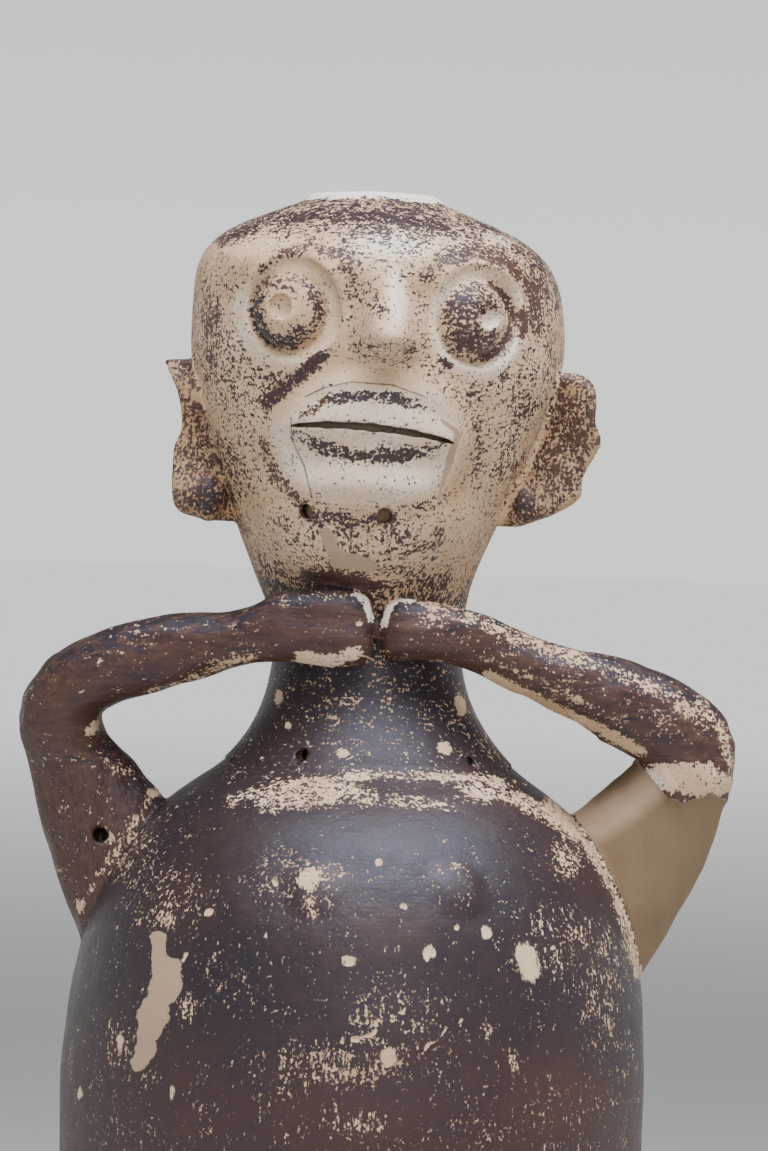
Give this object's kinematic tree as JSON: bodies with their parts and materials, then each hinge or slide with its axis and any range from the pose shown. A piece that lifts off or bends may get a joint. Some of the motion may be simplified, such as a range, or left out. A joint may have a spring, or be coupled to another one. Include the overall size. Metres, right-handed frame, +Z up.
{
  "type": "anthropomorphic vessel",
  "caption": "Hollow fired-clay vessel shaped as a standing figure: ovoid body, goggle-eyed head open at the crown, bent arms with hands under the chin.",
  "frame": {"origin": "centre of the flat underside", "axes": "+Z up along the turned body, -Y the way the face looks, +X to the right of someone facing it"},
  "size_m": [0.227, 0.187, 0.4494],
  "materials": {
    "fired_clay": "satin dark brown slip, worn and flaked to cream clay"
  },
  "bodies": {
    "root": {"vessel": "fired_clay"}
  },
  "joints": []
}
